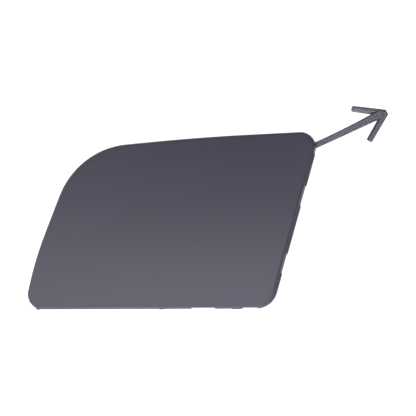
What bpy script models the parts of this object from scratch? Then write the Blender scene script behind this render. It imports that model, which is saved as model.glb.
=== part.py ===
"""Bumper tow hook cover, moulded in one piece.

A crowned plate with a return rim, a locating collar with spring clips and rigid hooks on its back,
stiffening ribs, and a flat tether that ends in an arrowhead. A low flange runs along the rim's rear edge.

Metres, +Z up. The visible face looks along -Y. Y = 0 is the seat, the flat rear edge of the rim,
and the origin is the middle of the rim's bottom run. An inset is a distance inwards from the outline.
"""
import math

import bmesh
import bpy
import numpy as np

MM = 0.001

# Outline of the plate, seen from the front: runs between sharp corners, slopes from +X.
BOTTOM_RUN = 101.84 * MM
RIGHT_RUN = 72.2 * MM
RIGHT_SLOPE = math.radians(74.1)
TOP_RIGHT_RUN = 47.0 * MM
TOP_RIGHT_SLOPE = math.radians(1.7)
TOP_LEFT_SLOPE = math.radians(3.8)
LOWER_LEFT_RUN = 21.0 * MM
LOWER_LEFT_SLOPE = math.radians(75.7)
UPPER_LEFT_SLOPE = math.radians(68.2)
BOTTOM_LEFT_RADIUS = 5.7 * MM
BOTTOM_RIGHT_RADIUS = 8.3 * MM
TOP_RIGHT_RADIUS = 5.8 * MM
TOP_BEND_RADIUS = 1000.0 * MM
TOP_LEFT_RADIUS = 32.4 * MM
LEFT_BEND_RADIUS = 150.0 * MM
LEAST_RADIUS = 0.5 * MM
TANGENT_SHARE = 0.48

# Skin and rim.
CROWN_HEIGHT = 7.0 * MM
CROWN_RADIUS_ACROSS = 900.0 * MM
CROWN_RADIUS_UPWARDS = 500.0 * MM
SKIN = 2.4 * MM
EDGE_RADIUS = 1.0 * MM
WALL_DRAFT = 0.12 * MM
RIM_WALL = 1.8 * MM
RIM_FILLET = 0.6 * MM
SEAT_Y = 0.0

# Flange at the rim's rear edge, from high on the left side round the bottom to high on the right side.
# It has gaps at the clips and one for a prying tool.
FLANGE_PROUD = 0.35 * MM
FLANGE_DEPTH = 2.2 * MM
FLANGE_ROOT = 0.9 * MM
FLANGE_SETBACK = 0.1 * MM
FLANGE_LEFT_END_Z = 43.0 * MM
FLANGE_RIGHT_END_Z = 61.2 * MM

# Locating collar on the back.
COLLAR_INSET = 4.4 * MM
COLLAR_WALL = 1.6 * MM
COLLAR_REACH = 6.0 * MM
COLLAR_CHAMFER = 0.4 * MM

# Spring clips and rigid hooks; both grip the bumper's skin between themselves and the seat.
GRIP = 2.8 * MM
CLIP_WALL = 1.8 * MM
CLIP_PROUD = 0.1 * MM
CLIP_CATCH = 1.6 * MM
CLIP_LAND = 0.8 * MM
CLIP_REACH = 9.5 * MM
CLIP_TIP = 0.6 * MM
CLIP_SLOT = 1.2 * MM
SLOT_FLOOR = 0.8 * MM
GUSSET_WALL = 1.2 * MM
GUSSET_SPREAD = 3.5 * MM
GUSSET_FOOT = 0.4 * MM
GUSSET_PITCH = 6.0 * MM
HOOK_WIDTH = 11.0 * MM
HOOK_THICKNESS = 1.8 * MM
HOOK_OVERHANG = 3.4 * MM
HOOK_LEAD = 0.5 * MM

# Stiffening ribs inside the collar.
RIB_WALL = 1.2 * MM
RIB_TOP_Y = -0.6 * MM
LEVEL_RIB_DROP = 0.2 * MM
RIB_SPACING = 23.0 * MM
FIRST_RIB_X = -34.0 * MM
UPRIGHT_RIBS = 3
LEVEL_RIB_HEIGHTS = (25.5 * MM, 38.8 * MM, 55.0 * MM)

# Centring pads under the flange: (x, width of the flat) of each.
PADS = ((-45.4 * MM, 1.0 * MM), (6.4 * MM, 1.6 * MM), (36.8 * MM, 3.3 * MM))
PAD_PROUD = 0.18 * MM
PAD_SLOPE = 0.6 * MM
PAD_ROOT = 0.5 * MM
PAD_SETBACK = 0.3 * MM

# Tether: a strap that leaves the collar at the top right and an arrowhead with two barbs.
TETHER_EXIT = 4.95 * MM
TETHER_SLOPE = math.radians(23.0)
TETHER_BEND = math.radians(3.1)
TETHER_LENGTH = 29.0 * MM
TETHER_GAP = 0.6 * MM
STRAP_THICKNESS = 1.9 * MM
STRAP_ROOT_WIDTH = 5.0 * MM
STRAP_ROOT_LENGTH = 4.0 * MM
STRAP_WIDTH = 2.2 * MM
STRAP_HEAD_WIDTH = 3.35 * MM
STRAP_CHAMFER = 0.45 * MM
STRAP_END_SETBACK = 1.0 * MM
HEAD_SHIFT = -0.5 * MM
HEAD_LEAN = math.radians(-1.0)
UPPER_BARB_LENGTH = 13.5 * MM
LOWER_BARB_LENGTH = 12.7 * MM
BARB_ANGLE = math.radians(34.0)
BARB_WIDTH = 2.65 * MM
BARB_END_WIDTH = 2.35 * MM
BARB_THICKNESS = 1.5 * MM
BARB_CHAMFER = 0.9 * MM
BARB_EDGE = 0.25 * MM
BARB_END_ROUND = 0.4 * MM
NOSE_REACH = 0.85 * MM
NOSE_DEPTH = 1.6 * MM
NOSE_STEP = 0.05 * MM
BACK_STEP = 0.1 * MM

# Moulding: places along the sides, as shares of the way from one corner's middle to the next.
BOTTOM_SIDE, RIGHT_SIDE, TOP_RIGHT_SIDE, TOP_LEFT_SIDE, UPPER_LEFT_SIDE, LOWER_LEFT_SIDE = range(6)
CLIPS = (
    (BOTTOM_SIDE, 0.730, 9.6 * MM),
    (RIGHT_SIDE, 0.248, 8.0 * MM),
    (RIGHT_SIDE, 0.652, 8.0 * MM),
    (TOP_RIGHT_SIDE, 0.42, 9.6 * MM),
)
PRY_GAP = (BOTTOM_SIDE, 0.922, 6.0 * MM)
HOOK_PLACES = ((UPPER_LEFT_SIDE, 0.55), (LOWER_LEFT_SIDE, 0.55))

# Fineness of the mesh.
CORNER_STEPS = (8, 9, 8, 2, 15, 3)
SIDE_STEPS = (11, 7, 4, 2, 2, 1)
EDGE_STEPS = 4
FACE_RINGS = 5
RIB_STEPS = 6
STRAP_STEPS = 8
SHARP_ANGLE = math.radians(30.0)
WELD = 0.001 * MM

COLOUR = (0.085, 0.085, 0.105, 1.0)
ROUGHNESS = 0.42


def heading(angle):
    """Unit vector in the plate's plane at an angle from +X."""
    return np.array([math.cos(angle), math.sin(angle)])


def left_of(direction):
    """A direction turned a quarter turn counter-clockwise."""
    return np.array([-direction[1], direction[0]])


def crossing(point, direction, other_point, other_direction):
    """Where two lines in the plate's plane cross."""
    steps = np.linalg.solve(np.column_stack([direction, -other_direction]), other_point - point)
    return point + steps[0] * direction


def sharp_corners():
    """The outline's sharp corners, counter-clockwise from the bottom left."""
    bottom_left = np.array([-BOTTOM_RUN / 2, -RIM_WALL / 2])
    bottom_right = bottom_left + BOTTOM_RUN * heading(0.0)
    top_right = bottom_right + RIGHT_RUN * heading(RIGHT_SLOPE)
    top_bend = top_right - TOP_RIGHT_RUN * heading(TOP_RIGHT_SLOPE)
    left_bend = bottom_left + LOWER_LEFT_RUN * heading(LOWER_LEFT_SLOPE)
    top_left = crossing(top_bend, heading(TOP_LEFT_SLOPE), left_bend, heading(UPPER_LEFT_SLOPE))
    return np.array([bottom_left, bottom_right, top_right, top_bend, top_left, left_bend])


CORNERS = sharp_corners()
CORNER_RADII = (
    BOTTOM_LEFT_RADIUS,
    BOTTOM_RIGHT_RADIUS,
    TOP_RIGHT_RADIUS,
    TOP_BEND_RADIUS,
    TOP_LEFT_RADIUS,
    LEFT_BEND_RADIUS,
)
CENTRE = CORNERS.mean(axis=0)


def outline(inset=0.0):
    """Points of the outline moved inwards by an inset, the same number of points at any inset.

    Each sharp corner is rounded by an arc that uses at most TANGENT_SHARE of the runs beside it.
    """
    runs = np.roll(CORNERS, -1, axis=0) - CORNERS
    lengths = np.linalg.norm(runs, axis=1)
    directions = runs / lengths[:, None]
    arcs = []
    for index, corner in enumerate(CORNERS):
        before, after = directions[index - 1], directions[index]
        moved = crossing(corner + inset * left_of(before), before, corner + inset * left_of(after), after)
        start = math.atan2(before[1], before[0]) - math.pi / 2
        turn = math.acos(np.clip(before @ after, -1.0, 1.0))
        widest = TANGENT_SHARE * min(lengths[index - 1], lengths[index]) / math.tan(turn / 2)
        radius = max(min(CORNER_RADII[index], widest) - inset, LEAST_RADIUS)
        middle = moved - before * radius * math.tan(turn / 2) + left_of(before) * radius
        angles = start + turn * np.linspace(0.0, 1.0, CORNER_STEPS[index] + 1)
        arcs.append(middle + radius * np.column_stack([np.cos(angles), np.sin(angles)]))
    points = []
    for index, arc in enumerate(arcs):
        following = arcs[(index + 1) % len(arcs)][0]
        shares = np.linspace(0.0, 1.0, SIDE_STEPS[index] + 1)[1:-1, None]
        points += [arc, arc[-1] + shares * (following - arc[-1])]
    return np.concatenate(points)


def face_y(points):
    """Depth of the crowned face over points of the plate's plane."""
    across, upwards = (points - CENTRE).T
    return -CROWN_HEIGHT + across**2 / (2 * CROWN_RADIUS_ACROSS) + upwards**2 / (2 * CROWN_RADIUS_UPWARDS)


def lifted(points, depths):
    """Points of the plate's plane set at their depths in space."""
    return np.column_stack([points[:, 0], np.broadcast_to(depths, len(points)), points[:, 1]])


def place_on_side(side, share):
    """Point of the outline a share of the way along a side, and its tangent and inward directions."""
    starts = np.cumsum([0] + [corner + side_steps for corner, side_steps in zip(CORNER_STEPS, SIDE_STEPS)])
    first = starts[side] + CORNER_STEPS[side] // 2
    last = starts[side + 1] + CORNER_STEPS[(side + 1) % len(CORNERS)] // 2
    loop = outline()
    path = loop[np.arange(first, last + 1) % len(loop)]
    steps = np.diff(path, axis=0)
    lengths = np.linalg.norm(steps, axis=1)
    travelled = np.concatenate([[0.0], np.cumsum(lengths)])
    goal = share * travelled[-1]
    index = min(np.searchsorted(travelled, goal, side="right") - 1, len(steps) - 1)
    tangent = steps[index] / lengths[index]
    return path[index] + tangent * (goal - travelled[index]), tangent, left_of(tangent)


def chord(point, direction):
    """Both ends of a line across the collar, in the middle of the collar's wall."""
    loop = outline(COLLAR_INSET + COLLAR_WALL / 2)
    following = np.roll(loop, -1, axis=0)
    side_of = (loop - point) @ left_of(direction)
    side_of_next = (following - point) @ left_of(direction)
    crossed = (side_of < 0) != (side_of_next < 0)
    shares = (side_of[crossed] / (side_of[crossed] - side_of_next[crossed]))[:, None]
    hits = loop[crossed] + shares * (following[crossed] - loop[crossed])
    along = (hits - point) @ direction
    return hits[along.argmin()], hits[along.argmax()]


def new_object(name, vertices, faces):
    """An object from vertices and faces, with its faces turned outwards."""
    mesh = bpy.data.meshes.new(name)
    mesh.from_pydata([tuple(vertex) for vertex in vertices], [], faces)
    edit = bmesh.new()
    edit.from_mesh(mesh)
    bmesh.ops.recalc_face_normals(edit, faces=edit.faces[:])
    edit.to_mesh(mesh)
    edit.free()
    made = bpy.data.objects.new(name, mesh)
    bpy.context.scene.collection.objects.link(made)
    return made


def band_faces(rings, count, closed_path):
    """Four-sided faces between neighbouring rings of count points each."""
    faces = []
    for ring in range(rings if closed_path else rings - 1):
        near, far = ring * count, (ring + 1) % rings * count
        for point in range(count):
            beside = (point + 1) % count
            faces.append((near + point, near + beside, far + beside, far + point))
    return faces


def capped_solid(name, rings):
    """A solid through rings of points, with a flat cap over the first and the last."""
    count = len(rings[0])
    faces = band_faces(len(rings), count, closed_path=False)
    faces.append(tuple(range(count)))
    faces.append(tuple(range((len(rings) - 1) * count, len(rings) * count)))
    return new_object(name, np.concatenate(rings), faces)


def domed_solid(name, rings, first, last):
    """A solid through rings of points, closed at both ends by a fan of faces to one point."""
    count = len(rings[0])
    faces = band_faces(len(rings), count, closed_path=False)
    start, end = len(rings) * count, (len(rings) - 1) * count
    for point in range(count):
        beside = (point + 1) % count
        faces.append((point, beside, start))
        faces.append((end + point, end + beside, start + 1))
    return new_object(name, np.concatenate(rings + [first, last]), faces)


def swept_outline(name, rings):
    """A closed band: a profile carried once round the outline, one ring for each profile point."""
    return new_object(name, np.concatenate(rings), band_faces(len(rings), len(rings[0]), closed_path=True))


def combined(body, tools, operation):
    """The body after one Boolean with all the tools, which are used up."""
    group = bpy.data.collections.new("tools")
    for tool in tools:
        group.objects.link(tool)
    modifier = body.modifiers.new("tools", "BOOLEAN")
    modifier.operation = operation
    modifier.solver = "EXACT"
    modifier.operand_type = "COLLECTION"
    modifier.collection = group
    evaluated = body.evaluated_get(bpy.context.evaluated_depsgraph_get())
    body.data = bpy.data.meshes.new_from_object(evaluated)
    body.modifiers.clear()
    for tool in tools:
        bpy.data.objects.remove(tool)
    bpy.data.collections.remove(group)
    return body


def plate():
    """The crowned skin with its rounded edge and the return rim behind it."""
    face_edge = outline(WALL_DRAFT + EDGE_RADIUS)
    skin_edge = outline(RIM_WALL + RIM_FILLET)
    shares = np.arange(1, FACE_RINGS + 1) / FACE_RINGS
    rings = []
    for share in shares:
        points = CENTRE + share * (face_edge - CENTRE)
        rings.append(lifted(points, face_y(points)))
    for step in range(1, EDGE_STEPS + 1):
        angle = math.pi / 2 * step / EDGE_STEPS
        points = outline(WALL_DRAFT + EDGE_RADIUS * (1 - math.sin(angle)))
        rings.append(lifted(points, face_y(points) + EDGE_RADIUS * (1 - math.cos(angle))))
    rings.append(lifted(outline(), SEAT_Y))
    inner_wall = outline(RIM_WALL)
    rings.append(lifted(inner_wall, SEAT_Y))
    rings.append(lifted(inner_wall, face_y(inner_wall) + SKIN + RIM_FILLET))
    halfway = outline(RIM_WALL + RIM_FILLET * (1 - math.sqrt(0.5)))
    rings.append(lifted(halfway, face_y(halfway) + SKIN + RIM_FILLET * (1 - math.sqrt(0.5))))
    for share in shares[::-1]:
        points = CENTRE + share * (skin_edge - CENTRE)
        rings.append(lifted(points, face_y(points) + SKIN))
    middle = CENTRE[None, :]
    depth = face_y(middle)
    return domed_solid("tow_hook_cover", rings, lifted(middle, depth), lifted(middle, depth + SKIN))


def flange():
    """The low outward band at the rim's rear edge, rooted in the rim's wall."""
    front, back = SEAT_Y - FLANGE_DEPTH, SEAT_Y - FLANGE_SETBACK
    outer, root = outline(-FLANGE_PROUD), outline(FLANGE_ROOT)
    rings = [lifted(root, front), lifted(outer, front), lifted(outer, back), lifted(root, back)]
    return swept_outline("flange", rings)


def flange_gap(place, width):
    """The cutter that interrupts the flange."""
    low, high = -2 * FLANGE_PROUD, 2 * FLANGE_ROOT
    profile = ((low, -2 * FLANGE_DEPTH), (high, -2 * FLANGE_DEPTH), (high, FLANGE_DEPTH), (low, FLANGE_DEPTH))
    return side_prism("flange_gap", place, profile, width)


def flange_top_cut():
    """The cutter that ends the flange on the left and on the right side and clears it from the top."""
    left, right = CORNERS[:, 0].min() - RIM_WALL, CORNERS[:, 0].max() + RIM_WALL
    above = CORNERS[:, 1].max() + RIM_WALL
    loop = np.array([(left, FLANGE_LEFT_END_Z), (right, FLANGE_RIGHT_END_Z), (right, above), (left, above)])
    return capped_solid("flange_top_cut", [lifted(loop, -2 * FLANGE_DEPTH), lifted(loop, FLANGE_DEPTH)])


def collar():
    """The locating wall on the back, rooted in the middle of the skin, with its free edge chamfered."""
    outer, inner = COLLAR_INSET, COLLAR_INSET + COLLAR_WALL
    outer_loop, inner_loop = outline(outer), outline(inner)
    rings = [
        lifted(outer_loop, face_y(outer_loop) + SKIN / 2),
        lifted(outer_loop, COLLAR_REACH - COLLAR_CHAMFER),
        lifted(outline(outer + COLLAR_CHAMFER), COLLAR_REACH),
        lifted(outline(inner - COLLAR_CHAMFER), COLLAR_REACH),
        lifted(inner_loop, COLLAR_REACH - COLLAR_CHAMFER),
        lifted(inner_loop, face_y(inner_loop) + SKIN / 2),
    ]
    return swept_outline("collar", rings)


def side_prism(name, place, profile, width, offset=0.0):
    """A profile of (inset, y) points at a place on the outline, extruded along the side."""
    point, tangent, inward = place
    rings = []
    for end in (offset - width / 2, offset + width / 2):
        flat = np.array([point + tangent * end + inward * inset for inset, _ in profile])
        rings.append(lifted(flat, np.array([y for _, y in profile])))
    return capped_solid(name, rings)


def skin_middle_y(place, inset):
    """Depth of the middle of the skin behind a place on the outline."""
    point, _, inward = place
    return float(face_y((point + inward * inset)[None, :])[0] + SKIN / 2)


def clip_slot(place, width):
    """The cutter that frees a clip from the collar on both sides."""
    floor = skin_middle_y(place, COLLAR_INSET) + SKIN / 2 + SLOT_FLOOR
    low, high = COLLAR_INSET - COLLAR_WALL, COLLAR_INSET + 2 * COLLAR_WALL
    profile = ((low, floor), (high, floor), (high, 2 * COLLAR_REACH), (low, 2 * COLLAR_REACH))
    return side_prism("clip_slot", place, profile, width + 2 * CLIP_SLOT)


def clip(place, width):
    """A spring arm with an outward catch and a sloping lead-in."""
    root = skin_middle_y(place, COLLAR_INSET)
    outer = COLLAR_INSET - CLIP_PROUD
    inner = outer + CLIP_WALL
    catch = outer - CLIP_CATCH
    catch_y = SEAT_Y + GRIP
    profile = (
        (inner, root),
        (outer, root),
        (outer, catch_y),
        (catch, catch_y),
        (catch, catch_y + CLIP_LAND),
        (inner - CLIP_TIP - COLLAR_CHAMFER, CLIP_REACH),
        (inner - COLLAR_CHAMFER, CLIP_REACH),
        (inner, CLIP_REACH - COLLAR_CHAMFER),
    )
    return side_prism("clip", place, profile, width)


def clip_gusset(place, offset):
    """A triangular web between the back of a clip's arm and the skin."""
    root = skin_middle_y(place, COLLAR_INSET + CLIP_WALL)
    arm = COLLAR_INSET + CLIP_WALL / 2
    foot = COLLAR_INSET + CLIP_WALL + GUSSET_SPREAD
    profile = ((arm, root), (foot, root), (foot, root + SKIN / 2 + GUSSET_FOOT), (arm, RIB_TOP_Y))
    return side_prism("clip_gusset", place, profile, GUSSET_WALL, offset)


def hook(place):
    """A rigid ledge on the collar that reaches behind the bumper's skin."""
    wall = COLLAR_INSET + COLLAR_WALL / 2
    tip = COLLAR_INSET - HOOK_OVERHANG
    front, back = SEAT_Y + GRIP, SEAT_Y + GRIP + HOOK_THICKNESS
    profile = (
        (wall, front),
        (tip + HOOK_LEAD, front),
        (tip, front + HOOK_LEAD),
        (tip, back - HOOK_LEAD),
        (tip + HOOK_LEAD, back),
        (wall, back),
    )
    return side_prism("hook", place, profile, HOOK_WIDTH)


def hook_gusset(place, offset):
    """A triangular web between the back of a hook and the collar."""
    wall = COLLAR_INSET + COLLAR_WALL / 2
    tip = COLLAR_INSET - HOOK_OVERHANG + 2 * HOOK_LEAD
    middle = SEAT_Y + GRIP + HOOK_THICKNESS / 2
    top = COLLAR_REACH - 2 * COLLAR_CHAMFER
    profile = ((wall, middle), (tip, middle), (tip, middle + HOOK_LEAD), (COLLAR_INSET, top), (wall, top))
    return side_prism("hook_gusset", place, profile, GUSSET_WALL, offset)


def rib(start, end, top):
    """A straight web on the skin from one point of the collar to another, with a level top."""
    beside = left_of((end - start) / np.linalg.norm(end - start)) * RIB_WALL / 2
    rings = []
    for share in np.linspace(0.0, 1.0, RIB_STEPS + 1):
        point = start + share * (end - start)
        flat = np.array([point - beside, point + beside, point + beside, point - beside])
        root = float(face_y(point[None, :])[0] + SKIN / 2)
        rings.append(lifted(flat, np.array([root, root, top, top])))
    return capped_solid("rib", rings)


def ribs():
    """Ribs parallel to the right side, and level ones across them."""
    made = []
    for number in range(UPRIGHT_RIBS):
        point = np.array([FIRST_RIB_X + number * RIB_SPACING, CORNERS[BOTTOM_SIDE][1]])
        made.append(rib(*chord(point, heading(RIGHT_SLOPE)), RIB_TOP_Y))
    for height in LEVEL_RIB_HEIGHTS:
        ends = chord(np.array([CENTRE[0], height]), heading(0.0))
        made.append(rib(*ends, RIB_TOP_Y - LEVEL_RIB_DROP))
    return made


def pad(x, width):
    """A low pad under the flange with sloping ends, which centres the cover in its recess."""
    root = CORNERS[BOTTOM_SIDE][1] + PAD_ROOT
    face = CORNERS[BOTTOM_SIDE][1] - FLANGE_PROUD - PAD_PROUD
    foot = width / 2 + PAD_SLOPE
    loop = np.array([(x - foot, root), (x - width / 2, face), (x + width / 2, face), (x + foot, root)])
    front, back = SEAT_Y - FLANGE_DEPTH + PAD_SETBACK, SEAT_Y - FLANGE_SETBACK - PAD_SETBACK
    return capped_solid("pad", [lifted(loop, front), lifted(loop, back)])


def chamfered_section(half_width, front, back, left_chamfer, right_chamfer, back_chamfer):
    """Eight corners of a bar's cross-section as (sideways, y), with its four edges chamfered."""
    return np.array(
        [
            (-half_width, back - back_chamfer),
            (-half_width, front + right_chamfer),
            (-half_width + right_chamfer, front),
            (half_width - left_chamfer, front),
            (half_width, front + left_chamfer),
            (half_width, back - back_chamfer),
            (half_width - back_chamfer, back),
            (-half_width + back_chamfer, back),
        ]
    )


def section_ring(point, direction, section):
    """A cross-section set at a point, square to a direction in the plate's plane."""
    flat = point + section[:, :1] * left_of(direction)
    return lifted(flat, section[:, 1])


def tether_point(distance):
    """Centre of the strap and its direction at a distance from the right side; its slope grows evenly."""
    start = CORNERS[TOP_RIGHT_SIDE] - TETHER_EXIT * heading(RIGHT_SLOPE)
    slope = TETHER_SLOPE + TETHER_BEND * distance / TETHER_LENGTH
    mean_slope = (TETHER_SLOPE + slope) / 2
    return start + distance * heading(mean_slope), heading(slope)


def strap():
    """The strap, flared where it leaves the collar and slowly wider towards the arrowhead."""
    front = SEAT_Y + TETHER_GAP
    back = front + STRAP_THICKNESS
    root = -(COLLAR_INSET + COLLAR_WALL / 2) / math.cos(RIGHT_SLOPE - math.pi / 2 - TETHER_SLOPE)
    flare = [root, root + STRAP_ROOT_LENGTH]
    rings = []
    end = TETHER_LENGTH - STRAP_END_SETBACK
    for distance in np.sort(np.concatenate([flare, np.linspace(0.0, end, STRAP_STEPS)])):
        point, direction = tether_point(distance)
        share = max(distance, 0.0) / TETHER_LENGTH
        width = STRAP_WIDTH + (STRAP_HEAD_WIDTH - STRAP_WIDTH) * share**2
        if distance == root:
            width = STRAP_ROOT_WIDTH
        section = chamfered_section(width / 2, front, back, STRAP_CHAMFER, STRAP_CHAMFER, BARB_EDGE)
        rings.append(section_ring(point, direction, section))
    return capped_solid("strap", rings)


def arrowhead():
    """Where the barbs' centres cross, and the arrowhead's direction, a little off the strap's."""
    end, axis = tether_point(TETHER_LENGTH)
    return end + HEAD_SHIFT * left_of(axis), heading(math.atan2(axis[1], axis[0]) + HEAD_LEAN)


def barb(side, length):
    """One barb of the arrowhead; its broad chamfer faces the strap. Side is +1 above, -1 below."""
    crossing_point, axis = arrowhead()
    back = SEAT_Y + TETHER_GAP + STRAP_THICKNESS - BACK_STEP
    front = back - BARB_THICKNESS
    direction = heading(math.atan2(axis[1], axis[0]) + math.pi - side * BARB_ANGLE)
    rings = []
    for distance, trim in ((0.0, 0.0), (length - BARB_END_ROUND, 0.0), (length, BARB_END_ROUND)):
        half_width = (BARB_WIDTH + (BARB_END_WIDTH - BARB_WIDTH) * distance / length) / 2 - trim
        slim = half_width / (BARB_WIDTH / 2)
        facing, away = BARB_CHAMFER * slim, BARB_EDGE * slim
        chamfers = (facing, away) if side > 0 else (away, facing)
        section = chamfered_section(half_width, front + trim / 2, back - trim / 2, *chamfers, away)
        rings.append(section_ring(crossing_point + direction * distance, direction, section))
    return capped_solid("barb", rings)


def nose():
    """The blunt nose: the barbs' outer sides run on to a short flat across the arrowhead's front."""
    middle, axis = arrowhead()
    front = SEAT_Y + TETHER_GAP + BARB_EDGE
    back = SEAT_Y + TETHER_GAP + STRAP_THICKNESS + BACK_STEP / 2
    rings = []
    for inset, y in (
        (BARB_EDGE, front),
        (0.0, front + BARB_EDGE),
        (0.0, back - BARB_EDGE),
        (BARB_EDGE, back),
    ):
        half_width = BARB_WIDTH / 2 - NOSE_STEP - inset
        reach = NOSE_REACH - inset
        shoulder = half_width / math.cos(BARB_ANGLE)
        flat = (half_width - reach * math.sin(BARB_ANGLE)) / math.cos(BARB_ANGLE)
        loop = np.array(
            [
                (inset - NOSE_DEPTH, -shoulder),
                (0.0, -shoulder),
                (reach, -flat),
                (reach, flat),
                (0.0, shoulder),
                (inset - NOSE_DEPTH, shoulder),
            ]
        )
        rings.append(lifted(middle + loop[:, :1] * axis + loop[:, 1:] * left_of(axis), y))
    return capped_solid("nose", rings)


def plastic():
    """Matte dark grey moulded plastic."""
    material = bpy.data.materials.new("dark_plastic")
    material.use_nodes = True
    shader = material.node_tree.nodes["Principled BSDF"]
    shader.inputs["Base Color"].default_value = COLOUR
    shader.inputs["Roughness"].default_value = ROUGHNESS
    shader.inputs["Metallic"].default_value = 0.0
    return material


def main():
    for old in list(bpy.data.objects):
        bpy.data.objects.remove(old)

    clips = [(place_on_side(side, share), width) for side, share, width in CLIPS]
    pry_side, pry_share, pry_width = PRY_GAP
    gaps = clips + [(place_on_side(pry_side, pry_share), pry_width)]
    hook_places = [place_on_side(*where) for where in HOOK_PLACES]

    wall = combined(collar(), [clip_slot(*where) for where in clips], "DIFFERENCE")
    band = combined(flange(), [flange_gap(*where) for where in gaps] + [flange_top_cut()], "DIFFERENCE")
    additions = [wall, band]
    for place, width in clips:
        additions.append(clip(place, width))
        additions += [clip_gusset(place, offset) for offset in (-GUSSET_PITCH / 2, GUSSET_PITCH / 2)]
    for place in hook_places:
        additions.append(hook(place))
        additions += [hook_gusset(place, offset) for offset in (-GUSSET_PITCH / 2, GUSSET_PITCH / 2)]
    additions += ribs()
    additions += [pad(*where) for where in PADS]
    additions += [strap(), barb(+1, UPPER_BARB_LENGTH), barb(-1, LOWER_BARB_LENGTH), nose()]

    cover = combined(plate(), additions, "UNION")

    edit = bmesh.new()
    edit.from_mesh(cover.data)
    bmesh.ops.triangulate(edit, faces=edit.faces[:])
    bmesh.ops.remove_doubles(edit, verts=edit.verts[:], dist=WELD)
    bmesh.ops.dissolve_degenerate(edit, edges=edit.edges[:], dist=WELD)
    edit.to_mesh(cover.data)
    edit.free()

    cover.data.shade_smooth()
    cover.data.set_sharp_from_angle(angle=SHARP_ANGLE)
    cover.data.materials.clear()
    cover.data.materials.append(plastic())


main()
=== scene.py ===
"""Bumper tow hook cover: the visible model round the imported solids, and its studio.

Metres, +Z up, in the same frame as the solids. The visible face looks along -Y, Y = 0 is the seat at the
rim's rear edge, and the origin is the middle of the rim's bottom run. The cover is one plastic moulding:
a crowned plate with a return rim and a low flange, a locating collar with spring clips and rigid hooks,
stiffening ribs, and a flat tether that ends in an arrowhead.

Every piece is a surface worked out with numpy: a function of two parameters on a grid.
"""

import math

import bmesh
import bpy
import numpy as np
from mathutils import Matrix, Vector


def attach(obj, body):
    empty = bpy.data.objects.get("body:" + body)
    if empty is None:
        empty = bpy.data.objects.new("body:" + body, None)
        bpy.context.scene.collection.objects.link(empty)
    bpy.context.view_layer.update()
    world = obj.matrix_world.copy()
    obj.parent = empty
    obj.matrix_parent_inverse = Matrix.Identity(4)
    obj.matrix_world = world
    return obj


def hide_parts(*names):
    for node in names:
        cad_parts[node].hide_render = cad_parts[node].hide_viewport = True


bl_info = {
    "name": "Bumper tow hook cover",
    "version": (1, 0, 0),
    "blender": (4, 5, 0),
    "location": "3D View > Sidebar > Tow Hook Cover",
    "description": "Builds a moulded bumper tow hook cover with clips, ribs and tether, and a studio",
    "category": "Object",
}

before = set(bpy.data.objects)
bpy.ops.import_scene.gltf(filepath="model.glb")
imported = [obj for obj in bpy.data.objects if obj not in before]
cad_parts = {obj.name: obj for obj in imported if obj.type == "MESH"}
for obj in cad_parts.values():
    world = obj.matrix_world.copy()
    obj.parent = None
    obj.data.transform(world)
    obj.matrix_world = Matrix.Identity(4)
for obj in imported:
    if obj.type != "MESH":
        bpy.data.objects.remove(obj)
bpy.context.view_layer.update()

CAD_NODE = "tow_hook_cover"
BODY = "root"

MM = 0.001
BOTTOM, RIGHT, TOP_RIGHT, TOP_LEFT, UPPER_LEFT, LOWER_LEFT = range(6)


def length(name, description, millimetres):
    """A length property, kept in metres; its default is given in millimetres."""
    return bpy.props.FloatProperty(
        name=name, description=description, default=millimetres * MM, unit="LENGTH", precision=5, step=0.01
    )


def angle(name, description, degrees):
    """An angle property, kept in radians and shown in degrees."""
    return bpy.props.FloatProperty(
        name=name, description=description, default=math.radians(degrees), subtype="ANGLE"
    )


def number(name, description, default, low=0.0, high=1.0):
    """A plain number property between two bounds."""
    return bpy.props.FloatProperty(
        name=name, description=description, default=default, min=low, max=high, precision=4
    )


def colour(name, description, default):
    """A colour property, in linear light."""
    return bpy.props.FloatVectorProperty(
        name=name, description=description, default=default, size=3, subtype="COLOR", min=0.0, max=1.0
    )


class OutlineSizes(bpy.types.PropertyGroup):
    """The plate's outline, seen from the front."""

    bottom_run: length("Bottom run", "Bottom side between its sharp corners", 101.84)
    right_run: length("Right run", "Right side between its sharp corners", 72.2)
    right_slope: angle("Right slope", "Slope of the right side from the bottom side", 74.1)
    top_right_run: length("Top right run", "Right part of the top side, up to its bend", 47.0)
    top_right_slope: angle("Top right slope", "Slope of the right part of the top side", 1.7)
    top_left_slope: angle("Top left slope", "Slope of the left part of the top side", 3.8)
    lower_left_run: length("Lower left run", "Lower part of the left side, up to its bend", 21.0)
    lower_left_slope: angle("Lower left slope", "Slope of the lower part of the left side", 75.7)
    upper_left_slope: angle("Upper left slope", "Slope of the upper part of the left side", 68.2)
    bottom_left_radius: length("Bottom left radius", "Radius of the bottom left corner", 5.7)
    bottom_right_radius: length("Bottom right radius", "Radius of the bottom right corner", 8.3)
    top_right_radius: length("Top right radius", "Radius of the top right corner", 5.8)
    top_bend_radius: length("Top bend radius", "Radius of the slight bend in the top side", 1000.0)
    top_left_radius: length("Top left radius", "Radius of the broad top left corner", 32.4)
    left_bend_radius: length("Left bend radius", "Radius of the slight bend in the left side", 150.0)


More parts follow.
